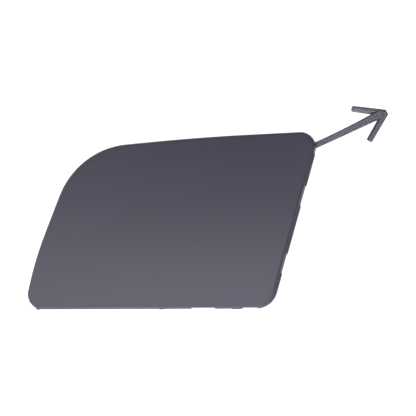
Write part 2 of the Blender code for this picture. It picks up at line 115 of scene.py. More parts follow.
class ShellSizes(bpy.types.PropertyGroup):
    """The plate's skin, its rim and the flange on it."""

    crown_height: length("Crown height", "Depth of the face's highest point in front of the seat", 7.0)
    crown_radius_across: length("Crown radius across", "Radius of the face from left to right", 900.0)
    crown_radius_upwards: length("Crown radius upwards", "Radius of the face from bottom to top", 500.0)
    skin: length("Skin", "Thickness of the plate", 2.4)
    edge_radius: length("Edge radius", "Radius of the edge round the face", 1.0)
    wall_draft: length("Wall draft", "How far the rim's wall leans inwards at the face", 0.12)
    rim_wall: length("Rim wall", "Thickness of the rim", 1.8)
    rim_fillet: length("Rim fillet", "Radius inside the rim's root", 0.6)
    seat_radius: length("Seat radius", "Radius of both edges of the seat", 0.15)
    flange_proud: length("Flange proud", "How far the flange stands out of the rim", 0.35)
    flange_depth: length("Flange depth", "Depth of the flange in front of the seat", 2.2)
    flange_setback: length("Flange setback", "Depth of the flange's back in front of the seat", 0.1)
    flange_left_end: length("Flange left end", "Height of the flange's left end", 43.0)
    flange_right_end: length("Flange right end", "Height of the flange's right end", 60.3)
    pad_proud: length("Pad proud", "How far the centring pads stand under the flange", 0.18)


class FixingSizes(bpy.types.PropertyGroup):
    """What is on the cover's back: collar, clips, hooks and ribs."""

    grip: length("Grip", "Thickness of the bumper skin that the clips and hooks hold", 2.8)
    collar_inset: length("Collar inset", "Distance from the rim's outside to the collar", 4.4)
    collar_wall: length("Collar wall", "Thickness of the collar", 1.6)
    collar_reach: length("Collar reach", "Depth of the collar behind the seat", 6.0)
    clip_wall: length("Clip wall", "Thickness of a clip's arm", 1.8)
    clip_proud: length("Clip proud", "How far a clip's arm stands out of the collar", 0.1)
    clip_catch: length("Clip catch", "Overhang of a clip's catch", 1.6)
    clip_land: length("Clip land", "Flat edge of a clip's catch", 0.8)
    clip_reach: length("Clip reach", "Depth of the clips behind the seat", 9.5)
    clip_slot: length("Clip slot", "Free width on each side of a clip", 1.2)
    slot_floor: length("Slot floor", "Height of the collar's foot in the slots", 0.8)
    gusset_wall: length("Gusset wall", "Thickness of the webs behind clips and hooks", 1.2)
    gusset_pitch: length("Gusset pitch", "Distance between the two webs of a clip or hook", 6.0)
    gusset_spread: length("Gusset spread", "Length of a clip's web on the skin", 3.5)
    hook_width: length("Hook width", "Width of a rigid hook", 11.0)
    hook_thickness: length("Hook thickness", "Thickness of a rigid hook", 1.8)
    hook_overhang: length("Hook overhang", "Overhang of a rigid hook", 3.4)
    rib_wall: length("Rib wall", "Thickness of a rib at its root", 1.2)
    rib_top: length("Rib top", "Depth of the upright ribs' tops from the seat", -0.6)
    rib_spacing: length("Rib spacing", "Distance between upright ribs", 23.0)
    first_rib_x: length("First rib", "Place of the first upright rib on the bottom side", -34.0)
    root_fillet: length("Root fillet", "Radius at the root of walls and ribs", 0.45)
    soft_edge: length("Soft edge", "Radius of the moulding's small edges", 0.2)


class TetherSizes(bpy.types.PropertyGroup):
    """The strap and its arrowhead."""

    tether_exit: length("Exit", "Distance of the strap under the top right corner", 4.95)
    slope: angle("Slope", "Slope of the strap where it leaves the plate", 23.0)
    bend: angle("Bend", "How far the strap's slope grows along it", 3.1)
    reach: length("Reach", "Length of the strap from the plate to the nose", 29.0)
    gap: length("Gap", "Depth of the strap's front behind the seat", 0.6)
    thickness: length("Thickness", "Thickness of the strap", 1.9)
    twist: angle("Twist", "How far the tether is turned about its own axis, its front downwards", 11.5)
    root_width: length("Root width", "Width of the strap at the collar", 5.0)
    strap_width: length("Strap width", "Width of the strap beside the plate", 2.4)
    head_width: length("Head width", "Width of the strap at the arrowhead", 3.45)
    head_flare: length("Head flare", "How much wider the strap ends inside the arrowhead", 1.0)
    strap_chamfer: length("Strap chamfer", "Chamfer along the strap's front edges", 0.45)
    end_setback: length("End setback", "Distance of the strap's end behind the nose", 1.0)
    head_shift: length("Head shift", "How far the arrowhead stands above the strap's middle", -0.5)
    head_lean: angle("Head lean", "How far the arrowhead is turned upwards from the strap", -1.0)
    upper_barb: length("Upper barb", "Length of the upper barb", 13.3)
    lower_barb: length("Lower barb", "Length of the lower barb", 12.7)
    barb_angle: angle("Barb angle", "Angle between a barb and the arrowhead's middle", 34.0)
    barb_width: length("Barb width", "Width of a barb at the nose", 2.65)
    barb_end_width: length("Barb end width", "Width of a barb at its free end", 2.35)
    barb_thickness: length("Barb thickness", "Thickness of a barb", 1.5)
    upper_chamfer: length("Upper chamfer", "Width of the upper barb's chamfer, towards the strap", 1.5)
    upper_slant: number("Upper slant", "Depth of the upper barb's chamfer as a share of its width", 0.42)
    lower_chamfer: length("Lower chamfer", "Chamfer of the lower barb, towards the strap", 0.9)
    nose_reach: length("Nose reach", "How far the blunt nose stands out of the barbs' crossing", 0.85)
    nose_depth: length("Nose depth", "How far the nose's sides run back from the barbs' crossing", 1.6)


class FinishSettings(bpy.types.PropertyGroup):
    """The moulded plastic."""

    plastic_colour: colour("Plastic colour", "Colour of the moulded plastic", (0.087, 0.087, 0.126))
    face_roughness: number("Face roughness", "Roughness of the visible side", 0.42)
    back_roughness: number("Back roughness", "Roughness of the hidden side", 0.34)
    tone_variation: number("Tone variation", "Share by which the plastic's tone drifts", 0.05)
    grain_depth: length("Grain depth", "Depth of the fine grain on the visible side", 0.006)


class StudioSettings(bpy.types.PropertyGroup):
    """Camera, floor, backdrop and lights."""

    azimuth: angle("Azimuth", "How far the camera stands to the right of the cover's front", 12.0)
    elevation: angle("Elevation", "How far the camera stands above the cover's level", -5.0)
    lens: number("Lens", "Focal length of the camera, in millimetres", 120.0, 10.0, 300.0)
    aim: bpy.props.FloatVectorProperty(
        name="Aim",
        description="Point that the camera looks at",
        default=(25.469 * MM, -2.0 * MM, 38.845 * MM),
        size=3,
        subtype="TRANSLATION",
        unit="LENGTH",
        precision=5,
    )
    distance: length("Distance", "Distance from the camera to its aim", 553.4)
    floor_height: length("Floor height", "Height of the pale floor", -100.0)
    # The floor's glow is dimmer under the cover: painted shade beneath it that fades out towards the far
    # floor.
    floor_shade_tone: colour("Floor tone", "Tone of the floor's glow under the cover", (0.70, 0.70, 0.71))
    floor_colour: colour("Floor colour", "Colour of the matt floor", (0.10, 0.10, 0.10))
    backdrop_glow: number("Backdrop glow", "How brightly the backdrop glows", 1.15, 0.0, 5.0)


# Where fixings are: side, share of the way along it from one corner's middle to the next, and width.
CLIPS = (
    (BOTTOM, 0.730, 9.6 * MM),
    (RIGHT, 0.248, 8.0 * MM),
    (RIGHT, 0.652, 8.0 * MM),
    (TOP_RIGHT, 0.42, 9.6 * MM),
)
PRY_GAP = (BOTTOM, 0.922, 6.0 * MM)
HOOKS = ((UPPER_LEFT, 0.55), (LOWER_LEFT, 0.55))
# The ribs: the upright ones' number, the level ones' heights and how much lower their tops are than the
# upright ones', and the width of a rib's top as a share of its root's.
UPRIGHT_RIBS = 3
LEVEL_RIBS = (25.5 * MM, 38.8 * MM, 55.0 * MM)
LEVEL_RIB_DROP = 0.2 * MM
RIB_TOP_SHARE = 0.85
# The centring pads' places and widths, and what their shape has in common.
PADS = ((-45.4 * MM, 1.0 * MM), (6.4 * MM, 1.6 * MM), (36.8 * MM, 3.3 * MM))
PAD_ROOT = 0.5 * MM
PAD_SLOPE = 0.6 * MM
PAD_SETBACK = 0.3 * MM
# Roundings and small steps. The clips' and hooks' radii are in the order of their profiles' corners.
FINE_EDGE = 0.08 * MM
SMALL_EDGE = 0.15 * MM
FLANGE_END = 0.5 * MM
COLLAR_EDGE = 0.4 * MM
FOOT_PLAY = 0.02 * MM
FOOT_EDGE = 0.1 * MM
FOOT_FILLET = 0.3 * MM
CLIP_NOSE = 1.0 * MM
CLIP_RADII = (0.05 * MM, 0.05 * MM, 0.6 * MM, 0.15 * MM, 0.12 * MM, 0.25 * MM, 0.3 * MM, 0.4 * MM, 0.6 * MM)
CLIP_WEB_FOOT = 0.4 * MM
HOOK_RADII = (0.05 * MM, 0.5 * MM, 0.5 * MM, 0.05 * MM)
HOOK_WEB_SETBACK = 1.0 * MM
HOOK_WEB_NOSE = 0.5 * MM
HOOK_WEB_DROP = 0.8 * MM
HOOK_WEB_EDGE = 0.12 * MM
# The moulding marks, in mm: radii and heights of their rings from the middle outwards, and their places.
# A row of ejector marks is its height on the plate and each mark's place along it.
EJECTOR_RADII = (0.0, 1.35, 1.42, 1.48, 1.58, 1.68, 1.72, 1.72, 0.0)
EJECTOR_HEIGHTS = (0.04, 0.04, 0.06, 0.14, 0.16, 0.14, 0.05, -0.6, -0.6)
EJECTOR_ROWS = ((16.5, (-22.0, 0.5, 29.0)), (32.0, (-17.0, 12.5, 40.0)), (47.0, (-12.0, 11.0, 38.0)))
GATE_RADII = (0.0, 0.35, 0.7, 0.82, 0.9, 1.15, 1.4, 1.45, 0.0)
GATE_HEIGHTS = (0.55, 0.62, 0.72, 0.7, 0.6, 0.15, 0.02, -0.6, -0.6)
GATE_PLACE = (-1.2, 31.0)
# The plastic's noise patterns: how many fit into a metre, how the flow is stretched along the plate, and
# the share of the face's grain that the back has.
SLOW_SCALE = 38.0
FLOW_SCALE = 1.6
FLOW_STRETCH = (9.0, 60.0, 60.0)
FINE_SCALE = 2600.0
GRAIN_SCALE = 5200.0
BACK_GRAIN = 0.25
# The tether: runs of the twist and of the flares, small edges, and the share of the face's grain on it.
TWIST_RUN = 5.0 * MM
ROOT_FLARE_RUN = 4.0 * MM
HEAD_FLARE_START = 0.78
HEAD_FLARE_RUN = 0.22
TETHER_EDGE = 0.25 * MM
BARB_EDGE = 0.2 * MM
BARB_SETBACK = 0.1 * MM
UPPER_BARB_ROUND = 0.85 * MM
LOWER_BARB_ROUND = 0.35 * MM
NOSE_STEP = 0.05 * MM
NOSE_CORNER = 0.45 * MM
NOSE_EDGE = 0.3 * MM
TETHER_GRAIN = 0.1

# The surroundings' broad lights: direction and strength, and how fast each falls off beside its middle.
BROAD_LIGHTS = (
    ((-1.0, 1.0, 1.0), 2.350),
    ((1.0, 1.0, 1.0), 1.180),
    ((-1.0, 1.0, -1.0), 0.300),
)
BROAD_LIGHT_SHARPNESS = 4.0
# Soft boxes: name, place and target in metres, width, height, watts, and the beam's angle if narrow.
SOFT_BOXES = (
    ("low_front_box", (0.0, -0.45, -0.06), (0.02, 0.0, 0.03), 0.5, 0.12, 0.850),
    ("left_front_box", (-0.40, -0.35, 0.0), (0.0, 0.0, 0.03), 0.3, 0.3, 0.596),
    ("near_under_box", (0.01, -0.06, -0.09), (0.01, -0.01, 0.0), 0.4, 0.1, 0.145),
    ("far_under_box", (0.0, 0.02, -0.35), (0.03, 0.0, 0.03), 0.5, 0.3, 0.300),
    ("back_under_box", (0.0, 0.15, -0.12), (0.03, 0.0, 0.03), 0.5, 0.1, 0.200),
    ("under_tether_box", (0.13, -0.07, -0.06), (0.08, 0.0, 0.06), 0.15, 0.1, 0.030),
    ("arrowhead_box", (0.083, -0.012, 0.0), (0.082, 0.003, 0.08), 0.03, 0.03, 0.0022, 35.0),
)

# The backdrop: its floor's radius, its cove's, and how high its dome rises over the cove.
FLOOR_RADIUS = 1.3
COVE_RADIUS = 0.5
DOME_RISE = 1.6
# Distances from the origin between which its glow goes from the floor's painted shade under the cover to
# white, and its speckle.
GLOW_NEAR = 0.15
GLOW_FAR = 0.75
SPECKLE_SCALE = 900.0
SPECKLE_DEPTH = 0.05

# A rounding takes up at most a share of the edges beside it, and its guard points stand a little outside it.
CORNER_ROOM = 0.36
GUARD_SHARE = 0.1
# Fineness of the surfaces: distances and turns between rows, and numbers of steps, rows and spokes.
STATION_SPACING = 1.1 * MM
STATION_TURN = math.radians(3.5)
RIB_STEP = 2.0 * MM
CORNER_ARC = 3
SMALL_ARC = 4
MEDIUM_ARC = 5
LARGE_ARC = 8
BACKDROP_ARC = 24
FACE_ROWS = 34
LAST_FACE_RING = 0.994
WALL_ROWS = 5
STRAP_ROWS = 64
BARB_ROWS = 24
MARK_SPOKES = 48
BACKDROP_SPOKES = 96
FLOOR_ROWS = 40
TABLE_POINTS = 2400
WELD = 1e-7
SHARP_ANGLE = math.radians(38.0)


def sizes(group):
    """The scene's settings of one group."""
    return getattr(bpy.context.scene, "tow_hook_cover_" + group)


def heading(bearing):
    """Unit vectors in the plate's plane at angles from +X: (cos, sin)."""
    return np.stack([np.cos(bearing), np.sin(bearing)], -1)


def round_headings(count):
    """Evenly spaced headings all round."""
    return heading(np.linspace(0.0, 2 * math.pi, count, endpoint=False))


def left_of(direction):
    """A direction turned a quarter turn counter-clockwise: (-z, x)."""
    return np.array([-direction[1], direction[0]])


def crossing(point, direction, other_point, other_direction):
    """Where two lines in the plate's plane cross."""
    steps = np.linalg.solve(np.column_stack([direction, -other_direction]), other_point - point)
    return point + steps[0] * direction


def in_space(flat, depths):
    """Points (x, z) of the plate's plane set at their depths y."""
    return np.stack([flat[..., 0], np.broadcast_to(depths, flat.shape[:-1]), flat[..., 1]], -1)


class PlateOutline:
    """The plate's outline as a function of two parameters, where round it and how far inwards.

    Where: from 2c to 2c + 1 it goes along corner c's arc, from 2c + 1 to 2c + 2 along the run after it.
    Inwards: a sharp corner moves by the inset times its mitre, which is the sum of the inward normals
    beside it over one plus their dot product, and its arc's radius shrinks by the inset.
    """

    tangent_share = 0.48
    least_radius = 0.5 * MM

    def __init__(self):
        plan = sizes("outline")
        bottom_left = np.array([-plan.bottom_run / 2, -sizes("shell").rim_wall / 2])
        bottom_right = bottom_left + plan.bottom_run * heading(0.0)
        top_right = bottom_right + plan.right_run * heading(plan.right_slope)
        top_bend = top_right - plan.top_right_run * heading(plan.top_right_slope)
        left_bend = bottom_left + plan.lower_left_run * heading(plan.lower_left_slope)
        top_left = crossing(
            top_bend, heading(plan.top_left_slope), left_bend, heading(plan.upper_left_slope)
        )
        self.corners = np.array([bottom_left, bottom_right, top_right, top_bend, top_left, left_bend])
        self.centre = self.corners.mean(axis=0)
        runs = np.roll(self.corners, -1, axis=0) - self.corners
        lengths = np.linalg.norm(runs, axis=1)
        after = runs / lengths[:, None]
        before = np.roll(after, 1, axis=0)
        inward_after = np.column_stack([-after[:, 1], after[:, 0]])
        inward_before = np.roll(inward_after, 1, axis=0)
        cosines = np.sum(inward_before * inward_after, axis=1)
        self.turns = np.arccos(np.clip(cosines, -1.0, 1.0))
        self.bearings = np.arctan2(before[:, 1], before[:, 0]) - math.pi / 2
        self.mitres = (inward_before + inward_after) / (1 + cosines)[:, None]
        wanted = (
            plan.bottom_left_radius,
            plan.bottom_right_radius,
            plan.top_right_radius,
            plan.top_bend_radius,
            plan.top_left_radius,
            plan.left_bend_radius,
        )
        widest = self.tangent_share * np.minimum(lengths, np.roll(lengths, 1)) / np.tan(self.turns / 2)
        self.radii = np.minimum(wanted, widest)
        self.count = len(self.corners)
        self.table_where = np.linspace(-2.0 * self.count, 4.0 * self.count, 3 * TABLE_POINTS + 1)
        loop = self.at(self.table_where, 0.0)
        travelled = np.cumsum(np.linalg.norm(np.diff(loop, axis=0), axis=1))
        travelled = np.concatenate([[0.0], travelled])
        self.table_distance = travelled - travelled[TABLE_POINTS]
        self.table_points = loop
        self.perimeter = self.table_distance[2 * TABLE_POINTS]

    def arc_point(self, corner, share, inset):
        """Corner point + (inset + radius) * mitre + radius * heading(start bearing + turn * share)."""
        radius = np.maximum(self.radii[corner] - inset, self.least_radius)
        reach = (inset + radius)[..., None] * self.mitres[corner]
        spoke = radius[..., None] * heading(self.bearings[corner] + self.turns[corner] * share)
        return self.corners[corner] + reach + spoke

    def at(self, where, inset):
        """Points at places round the outline and at insets from it."""
        where, inset = np.broadcast_arrays(np.asarray(where, float), np.asarray(inset, float))
        stretch = np.floor(where).astype(int)
        share = where - stretch
        corner = stretch // 2 % self.count
        on_arc = stretch % 2 == 0
        start = self.arc_point(corner, np.where(on_arc, share, 1.0), inset)
        end = self.arc_point((corner + 1) % self.count, np.zeros_like(inset), inset)
        return start + np.where(on_arc, 0.0, share)[..., None] * (end - start)

    def stations(self):
        """Places round the whole outline, no further apart than a set length and a set turn."""
        stretches = np.arange(2 * self.count)
        lengths = np.diff(self.distance_at(np.arange(2 * self.count + 1)))
        turns = np.where(stretches % 2 == 0, self.turns[stretches // 2], 0.0)
        steps = np.ceil(np.maximum(lengths / STATION_SPACING, turns / STATION_TURN)).astype(int)
        within = np.arange(steps.sum()) - np.repeat(np.cumsum(steps) - steps, steps)
        return np.repeat(stretches, steps) + within / np.repeat(steps, steps)

    def distance_at(self, where):
        """Distance travelled round the outline up to a place."""
        return np.interp(where, self.table_where, self.table_distance)

    def where_at(self, distance):
        """Place at a distance travelled round the outline."""
        return np.interp(distance, self.table_distance, self.table_where)

    def distance_on_side(self, side, share):
        """Distance travelled up to a share of the way from one corner's middle to the next."""
        start, end = self.distance_at(np.array([2 * side + 0.5, 2 * side + 2.5]))
        return start + share * (end - start)

    def openings(self, places, margin):
        """Distances from which to which the places reach, each widened by a margin, in order."""
        middles = [self.distance_on_side(side, share) for side, share, _ in places]
        halves = [width / 2 + margin for _, _, width in places]
        return sorted((middle - half, middle + half) for middle, half in zip(middles, halves))

    def place(self, side, share):
        """Point of the outline a share of the way along a side, and its tangent and inward directions."""
        distance = self.distance_on_side(side, share)
        behind, point, ahead = self.at(self.where_at(distance + np.array([-0.1, 0.0, 0.1]) * MM), 0.0)
        tangent = (ahead - behind) / np.linalg.norm(ahead - behind)
        return point, tangent, left_of(tangent)

    def depth(self, flat):
        """Depth of the crowned face: -height + across^2 / 2 R1 + upwards^2 / 2 R2, from the centre."""
        shell = sizes("shell")
        across = flat[..., 0] - self.centre[0]
        upwards = flat[..., 1] - self.centre[1]
        sag = across**2 / (2 * shell.crown_radius_across) + upwards**2 / (2 * shell.crown_radius_upwards)
        return sag - shell.crown_height

    def swept(self, where, profile):
        """A profile carried round the outline: rows of profile points, columns of places.

        A profile point is (inset, follow, offset), and its depth is follow * the face's depth + offset.
        """
        flat = self.at(where[None, :], profile[:, :1])
        return in_space(flat, profile[:, 1:2] * self.depth(flat) + profile[:, 2:3])

    def chord(self, point, direction, inset):
        """Both ends of a line across the outline at an inset."""
        loop = self.at(self.table_where[TABLE_POINTS:2 * TABLE_POINTS], inset)
        side = (loop - point) @ left_of(direction)
        side_after = np.roll(side, -1)
        crossed = (side < 0) != (side_after < 0)
        shares = (side[crossed] / (side[crossed] - side_after[crossed]))[:, None]
        hits = loop[crossed] + shares * (np.roll(loop, -1, axis=0)[crossed] - loop[crossed])
        along = (hits - point) @ direction
        return hits[along.argmin()], hits[along.argmax()]


def quarter(steps):
    """Angles of a quarter circle."""
    return np.linspace(0.0, math.pi / 2, steps + 1)


def rounding(radius, steps=SMALL_ARC):
    """A quarter circle's two sides: radius * (1 - sin) falls to 0 while radius * (1 - cos) rises from 0."""
    return radius * (1 - np.sin(quarter(steps))), radius * (1 - np.cos(quarter(steps)))


def profile_rows(inset, follow, offset):
    """Profile points (inset, follow, offset) in rows, from arrays and single numbers."""
    return np.column_stack(np.broadcast_arrays(inset, follow, offset))


def between(start, end, rows):
    """Evenly spaced profile points strictly between two, by linear shares."""
    shares = np.linspace(0.0, 1.0, rows + 2)[1:-1, None]
    return np.asarray(start) + shares * (np.asarray(end) - np.asarray(start))


def softened(corners, radius, steps=CORNER_ARC):
    """A closed polygon with each corner turned into an arc, and a guard point on both sides of it.

    The arc starts t = radius * tan(turn / 2) before the corner, and t uses at most a good third of the
    edges beside it. From there it follows R * (sin(b + s * turn) - sin b, cos b - cos(b + s * turn)),
    where b is the bearing before the corner, R = t / tan(turn / 2), and s goes from 0 to 1.
    """
    corners = np.asarray(corners, float)
    radius = np.broadcast_to(radius, len(corners))
    ahead = np.roll(corners, -1, axis=0) - corners
    lengths = np.linalg.norm(ahead, axis=1)
    ahead = ahead / lengths[:, None]
    behind = np.roll(ahead, 1, axis=0)
    sine = behind[:, 0] * ahead[:, 1] - behind[:, 1] * ahead[:, 0]
    turn = np.arctan2(sine, np.sum(behind * ahead, axis=1))
    room = CORNER_ROOM * np.minimum(lengths, np.roll(lengths, 1))
    back = np.minimum(radius * np.tan(np.abs(turn) / 2), room)[:, None]
    bend = back / np.tan(turn / 2)[:, None]
    bearing = np.arctan2(behind[:, 1], behind[:, 0])[:, None]
    turned = bearing + np.linspace(0.0, 1.0, steps + 1) * turn[:, None]
    arc = np.stack([np.sin(turned) - np.sin(bearing), np.cos(bearing) - np.cos(turned)], -1)
    arc = (corners - behind * back)[:, None, :] + bend[..., None] * arc
    guard = back + GUARD_SHARE * room[:, None]
    first = (corners - behind * guard)[:, None, :]
    last = (corners + ahead * guard)[:, None, :]
    return np.concatenate([first, arc, last], axis=1).reshape(-1, 2)


def drawn_in(profile, amounts):
    """Copies of a closed profile, each with its points moved inwards along their normals."""
    edges = np.roll(profile, -1, axis=0) - profile
    area = np.sum(profile[:, 0] * edges[:, 1] - profile[:, 1] * edges[:, 0])
    lengths = np.maximum(np.linalg.norm(edges, axis=1, keepdims=True), 1e-12)
    normals = np.sign(area) * np.column_stack([-edges[:, 1], edges[:, 0]]) / lengths
    normals = normals + np.roll(normals, 1, axis=0)
    normals /= np.maximum(np.linalg.norm(normals, axis=1, keepdims=True), 1e-12)
    return profile[None, :, :] + np.asarray(amounts)[:, None, None] * normals[None, :, :]


def soft_ends(start, end, radius, middle):
    """Positions along a bar and how far its section is drawn in there: a quarter circle at each end."""
    draw, run_in = rounding(radius)
    inner = np.linspace(start + radius, end - radius, middle + 2)[1:-1]
    positions = np.concatenate([start + run_in, inner, end - run_in[::-1]])
    return positions, np.concatenate([draw, np.zeros(middle), draw[::-1]])


def side_bar(place, profile, width, offset=0.0, soft=None):
    """A profile of (inset, depth) at a place on the outline, carried along the side's tangent."""
    point, tangent, inward = place
    soft = sizes("fixings").soft_edge if soft is None else soft
    positions, draws = soft_ends(offset - width / 2, offset + width / 2, soft, 1)
    section = drawn_in(np.asarray(profile), draws)
    flat = point + positions[:, None, None] * tangent + section[..., :1] * inward
    return in_space(flat, section[..., 1])


def outline_bar(outline, start, end, profile, soft, step=STATION_SPACING):
    """A profile of (inset, follow, offset) carried along the outline from one distance to another."""
    middle = max(int((end - start) / step), 1)
    positions, draws = soft_ends(start, end, soft, middle)
    where = outline.where_at(positions)[:, None]
    section = drawn_in(profile[:, [0, 2]], draws)
    flat = outline.at(where, section[..., 0])
    return in_space(flat, profile[None, :, 1] * outline.depth(flat) + section[..., 1])


def new_piece(name, grids):
    """One object from closed grids, each a pair: points of rows and columns, and whether rows close too.

    Columns always close on themselves. Rows that don't are ended by a flat face, or by a pole where the
    whole row is one point. Doubles are merged and the faces turned outwards.
    """
    vertices, faces, start = [], [], 0
    for points, looped in grids:
        rows, columns = points.shape[:2]
        index = start + np.arange(rows * columns).reshape(rows, columns)
        near, far = (index, np.roll(index, -1, axis=0)) if looped else (index[:-1], index[1:])
        quads = np.stack([near, np.roll(near, -1, axis=1), np.roll(far, -1, axis=1), far], -1)
        faces += quads.reshape(-1, 4).tolist()
        if not looped:
            faces += [index[row].tolist() for row in (0, -1) if np.ptp(points[row], axis=0).max() > WELD]
        vertices.append(points.reshape(-1, 3))
        start += rows * columns
    mesh = bpy.data.meshes.new(name)
    mesh.from_pydata(np.concatenate(vertices).tolist(), [], faces)
    edit = bmesh.new()
    edit.from_mesh(mesh)
    bmesh.ops.remove_doubles(edit, verts=edit.verts[:], dist=WELD)
    bmesh.ops.recalc_face_normals(edit, faces=edit.faces[:])
    edit.to_mesh(mesh)
    edit.free()
    mesh.shade_smooth()
    mesh.set_sharp_from_angle(angle=SHARP_ANGLE)
    piece = bpy.data.objects.new(name, mesh)
    bpy.context.scene.collection.objects.link(piece)
    return piece


def mark_visible_side(outline, piece):
    """Stores on each vertex how far it has the visible side's grain.

    It is 1 on the face, edge and wall, the tether's share on the tether, and 0 on the hidden side.
    """
    mesh = piece.data
    places = np.empty(len(mesh.vertices) * 3)
    mesh.vertices.foreach_get("co", places)
    places = places.reshape(-1, 3)
    flat = places[:, [0, 2]]
    middle = outline.depth(flat) + sizes("shell").skin / 2
    right_of_plate = flat[:, 0] > outline.corners[:, 0].max()
    seen = np.where(places[:, 1] < middle, 1.0, np.where(right_of_plate, TETHER_GRAIN, 0.0))
    attribute = mesh.attributes.new("visible_side", "FLOAT", "POINT")
    attribute.data.foreach_set("value", seen.astype(np.float32))


def finish_piece(outline, piece):
    """Gives a piece of the moulding its plastic and its body, and hides the imported solid that it stands
    for.
    """
    mark_visible_side(outline, piece)
    piece.data.materials.append(moulded_plastic())
    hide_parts(CAD_NODE)
    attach(piece, BODY)


def plate_grid(outline):
    """The skin, its rounded edge and the rim, from the face's centre round to the back's centre.

    Over the face and the back, a point is centre + share * (edge - centre). Between them a profile goes
    round the edge, down the wall to the seat, up the inside and through the fillet.
    """
    shell = sizes("shell")
    where = outline.stations()
    falling, rising = rounding(shell.edge_radius, LARGE_ARC)
    edge = profile_rows(shell.wall_draft + falling, 1.0, rising)
    falling, rising = rounding(shell.seat_radius)
    seat_outside = profile_rows(rising, 0.0, -falling)
    seat_inside = profile_rows(shell.rim_wall - falling, 0.0, -rising)
    falling, rising = rounding(shell.rim_fillet, LARGE_ARC)
    root = profile_rows(shell.rim_wall + rising, 1.0, shell.skin + falling)
    profile = np.concatenate(
        [
            edge,
            between(edge[-1], seat_outside[0], WALL_ROWS),
            seat_outside,
            between(seat_outside[-1], seat_inside[0], 1),
            seat_inside,
            between(seat_inside[-1], root[0], WALL_ROWS),
            root,
        ]
    )
    shares = np.append(np.linspace(0.0, 1.0, FACE_ROWS + 1)[:-1], LAST_FACE_RING)[:, None, None]
    outer_edge = outline.at(where, profile[0, 0])
    inner_edge = outline.at(where, profile[-1, 0])
    face = outline.centre + shares * (outer_edge - outline.centre)
    back = outline.centre + shares[::-1] * (inner_edge - outline.centre)
    return np.concatenate(
        [
            in_space(face, outline.depth(face)),
            outline.swept(where, profile),
            in_space(back, outline.depth(back) + shell.skin),
        ]
    )


def flange_spans(outline):
    """Distances between which the flange runs, without its gaps.

    It ends on both sides where the outline crosses a line between the two set heights.
    """
    shell = sizes("shell")
    left, right = outline.corners[:, 0].min() - shell.rim_wall, outline.corners[:, 0].max() + shell.rim_wall
    rise = (shell.flange_right_end - shell.flange_left_end) / (right - left)
    points = outline.table_points
    above = points[:, 1] > shell.flange_left_end + rise * (points[:, 0] - left)
    distance = outline.table_distance
    crossings = distance[1:][above[1:] != above[:-1]]
    end = crossings[crossings > 0][0]
    start = crossings[crossings < 0][-1]
    gaps = [gap for gap in outline.openings(CLIPS + (PRY_GAP,), 0.0) if gap[1] < end]
    starts = [start] + [gap[1] for gap in gaps]
    ends = [gap[0] for gap in gaps] + [end]
    return list(zip(starts, ends))


def flange_grids(outline):
    """The flange: a small rounded section carried along the rim between its gaps."""
    shell = sizes("shell")
    front, back = -shell.flange_depth, -shell.flange_setback
    root = shell.rim_wall / 2
    loop = softened(
        [(root, front), (-shell.flange_proud, front), (-shell.flange_proud, back), (root, back)], FINE_EDGE
    )
    profile = profile_rows(loop[:, 0], 0.0, loop[:, 1])
    return [(outline_bar(outline, *span, profile, FLANGE_END), False) for span in flange_spans(outline)]


def pad_grid(outline, x, width):
    """A low pad under the flange: a trapezium carried from front to back."""
    shell = sizes("shell")
    bottom = outline.corners[BOTTOM][1]
    root, face = bottom + PAD_ROOT, bottom - shell.flange_proud - shell.pad_proud
    half, foot = width / 2, width / 2 + PAD_SLOPE
    loop = softened([(x - foot, root), (x - half, face), (x + half, face), (x + foot, root)], SMALL_EDGE)
    front, back = PAD_SETBACK - shell.flange_depth, -shell.flange_setback - PAD_SETBACK
    depths, draws = soft_ends(front, back, FINE_EDGE, 1)
    return in_space(drawn_in(loop, draws), depths[:, None]), False


def wall_profile(outer, inner, top, soft, fillet, skin, sunk):
    """Closed profile of a wall that stands on the skin, with flared roots and a rounded top.

    Points are (inset, follow, offset); the roots follow the face's depth and the top doesn't.
    """
    flare, climb = rounding(fillet)
    drop, step_in = rounding(soft)
    return np.concatenate(
        [
            [(outer - fillet, 1.0, skin - sunk)],
            profile_rows(outer - flare, 1.0, skin + climb),
            profile_rows(outer + step_in, 0.0, top - drop),
            profile_rows(inner - step_in[::-1], 0.0, top - drop[::-1]),
            profile_rows(inner + flare[::-1], 1.0, skin + climb[::-1]),
            [(inner + fillet, 1.0, skin - sunk)],
        ]
    )


def collar_grids(outline):
    """The collar: a low foot all round, and the full wall between the clips' slots."""
    shell, fix = sizes("shell"), sizes("fixings")
    outer, inner = fix.collar_inset, fix.collar_inset + fix.collar_wall
    sunk = shell.skin / 2
    wall = wall_profile(outer, inner, fix.collar_reach, COLLAR_EDGE, fix.root_fillet, shell.skin, sunk)
    foot = wall_profile(outer + FOOT_PLAY, inner - FOOT_PLAY, 0.0, FOOT_EDGE, FOOT_FILLET, shell.skin, sunk)
    on_top = foot[:, 1] == 0.0
    foot[on_top, 1] = 1.0
    foot[on_top, 2] += shell.skin + fix.slot_floor
    slots = outline.openings(CLIPS, fix.clip_slot)
    starts = [slot[1] for slot in slots]
    ends = [slot[0] for slot in slots[1:]] + [slots[0][0] + outline.perimeter]
    walls = [(outline_bar(outline, *span, wall, fix.soft_edge), False) for span in zip(starts, ends)]
    return [(outline.swept(outline.stations(), foot), True)] + walls


def skin_middle(outline, place, inset):
    """Depth of the middle of the skin behind a place on the outline."""
    point, _, inward = place
    return float(outline.depth(point + inward * inset) + sizes("shell").skin / 2)


def webs(place, profile):
    """The two webs behind a clip or hook: a profile carried along the side on both sides of its middle."""
    fix = sizes("fixings")
    offsets = (-fix.gusset_pitch / 2, fix.gusset_pitch / 2)
    return [(side_bar(place, profile, fix.gusset_wall, offset), False) for offset in offsets]


